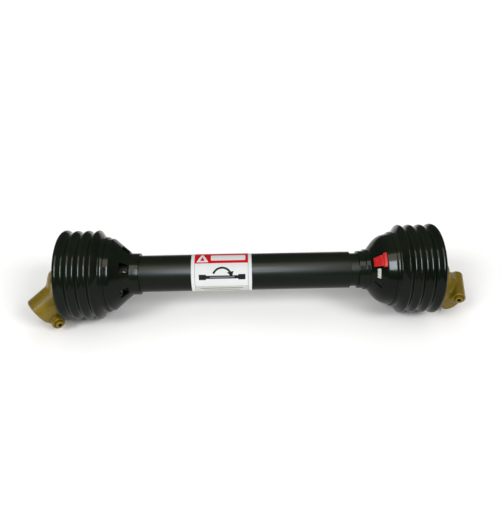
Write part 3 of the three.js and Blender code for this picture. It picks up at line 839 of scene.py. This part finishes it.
def make_bearing(fork_name, side, ear, body, place):
    """Needle bearing cup and the circlip that holds it, along X."""
    cup = lathe(f"{fork_name}_bearing_cup_{side}_{ear}_body", rounded([
        (35.3, 0), (35.3, 9, 0.6), (22.5, 9, 0.5), (22.5, 13.5, 1.2), (37.3, 13.5, 1.2),
        (37.3, 9.5, 0.4), (36.9, 9, 0.4), (36.9, 0),
    ]), place)
    dress(cup, body, f"{fork_name}_bearing_cup_{side}_{ear}", "bearing_steel", STEEL)
    clip = sector(f"{fork_name}_circlip_{side}_{ear}_body", rounded([
        (37.7, 11.8), (37.7, 14.5, 0.2), (39.1, 14.5, 0.2), (39.1, 11.8),
    ], 2), 24, 336, place, 56)
    for angle in (27, 333):
        spot = place @ Matrix.Rotation(-math.radians(angle), 4, "X")
        lug = prism("lug", rounded([(-2.6, 8.2, 1.5), (2.6, 8.2, 1.5), (2.4, 13.2, 1), (-2.4, 13.2, 1)]),
                    37.7, 39.1, spot @ SWAP_TO_X)
        cut(lug, lathe("eye", [(36, 0), (36, 0.9), (41, 0.9), (41, 0)],
                       spot @ Matrix.Translation((0, 0, 10.3 * MM)), 20))
        join(clip, lug)
    dress(clip, body, f"{fork_name}_circlip_{side}_{ear}", "bearing_steel", STEEL)


def make_cross(side):
    """Four journals on a forged body, with a grease nipple between two of them."""
    profile = [
        (34.9, JOURNAL, 0.8), (22.5, JOURNAL, 0.8), (21.9, 11.5, 1.5), (14, 12.5, 2), (0, 12.9),
    ]
    half = rounded([(34.9, 0), *profile, (0, 0)])[:-1]
    outline = half + [(-along, radius) for along, radius in reversed(half[:-1])]
    body = lathe(f"cross_{side}_body", outline, ALONG_Y)
    join(body, lathe("arm", outline, quarter("Y", -1)))
    diagonal = Matrix.Rotation(math.pi / 4, 4, "X") @ ALONG_Y
    cut(body, lathe("hole", [(12, 0), (12, 3.1), (26, 3.1), (26, 0)], diagonal))
    body.data.transform(CROSS[side])
    dress(body, f"cross_{side}", f"cross_{side}", "bearing_steel", STEEL)
    nipple = lathe(f"grease_nipple_{side}_body", [(12, 0), (12, 2.6), (21.6, 2.6), (21.6, 0)], diagonal)
    hexagon = lathe("hexagon", [(21.5, 0), (21.5, 4), (24, 4), (24, 0)], diagonal, 6)
    tip = lathe("tip", rounded([
        (23.8, 0), (23.8, 2.4), (27, 2.0, 0.5), (28, 2.9, 0.5), (29, 1.8, 0.5), (29, 0),
    ]), diagonal, 32)
    join(nipple, hexagon, tip)
    nipple.data.transform(CROSS[side])
    dress(nipple, f"cross_{side}", f"grease_nipple_{side}", "bearing_steel", STEEL)


# ---- the whole shaft ------------------------------------------------------------------------

for side in SIDES:
    make_bell(side)
    make_guard_tube(side)
    make_outer_yoke(side)
    make_pin(side)
    make_inner_end(side)
    make_cross(side)
    for ear, turn in (("a", 1), ("b", -1)):
        make_bearing("inner", side, ear, DRIVE[side], INNER_YOKE[side] @ quarter("Z", turn))
        make_bearing("outer", side, ear, f"outer_yoke_{side}", YOKE[side] @ quarter("Z", turn))
make_cup_left()
make_cup_right()
make_bearing_rings()
make_lock_key()
make_label()


# ---- floor, light and camera ----------------------------------------------------------------

def make_floor():
    """Pale floor, large enough to reach the horizon."""
    half = 60                # metres
    mesh = bpy.data.meshes.new("floor")
    corners = [(-half, -half, 0), (half, -half, 0), (half, half, 0), (-half, half, 0)]
    mesh.from_pydata(corners, [], [(0, 1, 2, 3)])
    floor = bpy.data.objects.new("floor", mesh)
    bpy.context.scene.collection.objects.link(floor)
    look = Look("studio_floor", Roughness=0.9)
    look.colour(look.blend(look.spread(look.noise(6, 3), 0, 1), (0.86, 0.86, 0.86), (0.84, 0.84, 0.84)))
    mesh.materials.append(look.material)
    return floor


def add_light(name, kind, **values):
    light = bpy.data.lights.new(name, kind)
    for key, value in values.items():
        setattr(light, key, value)
    lamp = bpy.data.objects.new(name, light)
    bpy.context.scene.collection.objects.link(lamp)
    return lamp


def panel(name, elevation, distance, length, height, radiance, colour, lit):
    """Long soft panel in front of the shaft, facing its middle and lighting some pieces only."""
    lamp = add_light(name, "AREA", shape="RECTANGLE", size=length, size_y=height, color=colour,
                     energy=math.pi * length * height * radiance)
    away = Vector((0, -math.cos(math.radians(elevation)), math.sin(math.radians(elevation))))
    middle = (CENTRE["left"] + CENTRE["right"]) / 2
    up = Vector((1, 0, 0)).cross(-away)
    turn = Matrix((Vector((1, 0, 0)), up * -1, away)).transposed().to_4x4()
    lamp.matrix_world = Matrix.Translation(middle + away * distance) @ turn
    lamp.light_linking.receiver_collection = lit


def make_world():
    """Pale overhead, darker towards the horizon."""
    world = bpy.data.worlds.new("studio")
    bpy.context.scene.world = world
    world.use_nodes = True
    tree = world.node_tree
    place = tree.nodes.new("ShaderNodeTexCoord")
    split = tree.nodes.new("ShaderNodeSeparateXYZ")
    ramp = tree.nodes.new("ShaderNodeValToRGB")
    stops = ramp.color_ramp.elements
    stops[0].position, stops[0].color = 0.0, (0.08, 0.08, 0.082, 1)
    stops[1].position, stops[1].color = 0.85, (0.26, 0.255, 0.24, 1)
    tree.links.new(place.outputs["Generated"], split.inputs["Vector"])
    tree.links.new(split.outputs["Z"], ramp.inputs["Fac"])
    tree.links.new(ramp.outputs["Color"], tree.nodes["Background"].inputs["Color"])


def group_of(name, wanted):
    """Collection of the pieces whose names are wanted, for a light to fall on."""
    group = bpy.data.collections.new(name)
    for piece in list(bpy.context.scene.collection.objects):
        if piece.type == "MESH" and wanted(piece.name):
            group.objects.link(piece)
    return group


def make_lights(floor):
    make_world()
    guards = group_of("guards", lambda name: name.startswith(("bell", "base_cup", "outer_g", "inner_g")))
    others = group_of("others", lambda name: name not in guards.objects and name != floor.name)
    ground = group_of("ground", lambda name: name == floor.name)
    panel("guard_strip", 45, 1.7, 0.66, 0.8, 46, (0.86, 0.95, 1.0), guards)
    panel("guard_glow", 70, 1.8, 1.5, 0.8, 7.5, (1.0, 0.90, 0.76), guards)
    panel("front_strip", 48, 1.7, 3.4, 0.22, 9, (0.97, 0.98, 1.0), others)
    panel("front_glow", 63, 1.9, 3.4, 0.6, 1.4, (1.0, 0.95, 0.86), others)
    overhead = add_light("overhead", "SUN", energy=1.3, angle=math.radians(110))
    overhead.light_linking.receiver_collection = ground
    for name, turn in (("left_front", -50), ("right_front", 50)):
        lamp = add_light(name, "SUN", energy=1.8, angle=math.radians(24))
        away = Matrix.Rotation(math.radians(turn), 3, "Z") @ FRONT
        lamp.rotation_euler = away.to_track_quat("Z", "Y").to_euler()
        lamp.light_linking.receiver_collection = ground


def make_camera():
    """Camera in front of the shaft, square to it but for small turns, 35 degrees up."""
    distance, offset = 1.0128, -0.0186
    yaw, pitch, roll = (math.radians(angle) for angle in (1.082, -1.666, 1.171))
    lens = bpy.data.cameras.new("camera")
    lens.sensor_fit = "HORIZONTAL"
    lens.sensor_width = 36
    lens.lens = 38.62
    camera = bpy.data.objects.new("camera", lens)
    bpy.context.scene.collection.objects.link(camera)
    across = Vector((1, 0, 0))
    level = Matrix((across, FRONT.cross(across), FRONT)).transposed()
    turn = Matrix.Rotation(roll, 3, "Z") @ Matrix.Rotation(pitch, 3, "X") @ Matrix.Rotation(yaw, 3, "Y")
    middle = (CENTRE["left"] + CENTRE["right"]) / 2
    position = middle + across * offset + FRONT * distance
    camera.matrix_world = Matrix.Translation(position) @ (level @ turn.transposed()).to_4x4()
    bpy.context.scene.camera = camera


make_lights(make_floor())
make_camera()
bpy.context.scene.view_settings.view_transform = "Standard"
